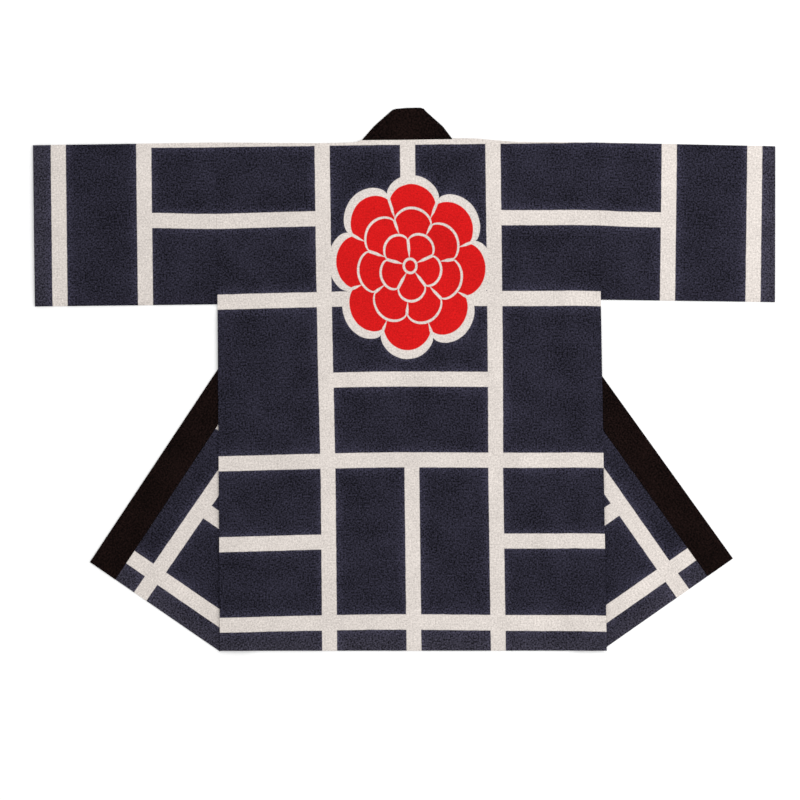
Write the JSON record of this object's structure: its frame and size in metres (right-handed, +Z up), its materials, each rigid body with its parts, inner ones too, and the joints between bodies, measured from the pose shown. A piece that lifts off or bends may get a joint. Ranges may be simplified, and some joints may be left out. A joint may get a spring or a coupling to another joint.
{
  "type": "hanten coat laid flat",
  "caption": "Straight-cut cotton half coat with tube sleeves and a band collar, laid flat back up with its front edges turned out to the sides.",
  "frame": {"origin": "middle of the garment's footprint, on the surface it lies on", "axes": "+X towards the picture's right, which is the wearer's right, +Y from the hem to the neck, +Z up off the surface, out of the back of the garment"},
  "size_m": [1.3208, 0.97, 0.005],
  "materials": {
    "navy_cotton": "plain-woven navy cotton with a white stripe grid",
    "black_cotton": "plain-woven black cotton, pressed flat"
  },
  "bodies": {
    "root": {"back": "navy_cotton", "front_left": "navy_cotton", "front_right": "navy_cotton", "sleeve_left": "navy_cotton", "sleeve_right": "navy_cotton", "collar": "black_cotton"}
  },
  "joints": []
}
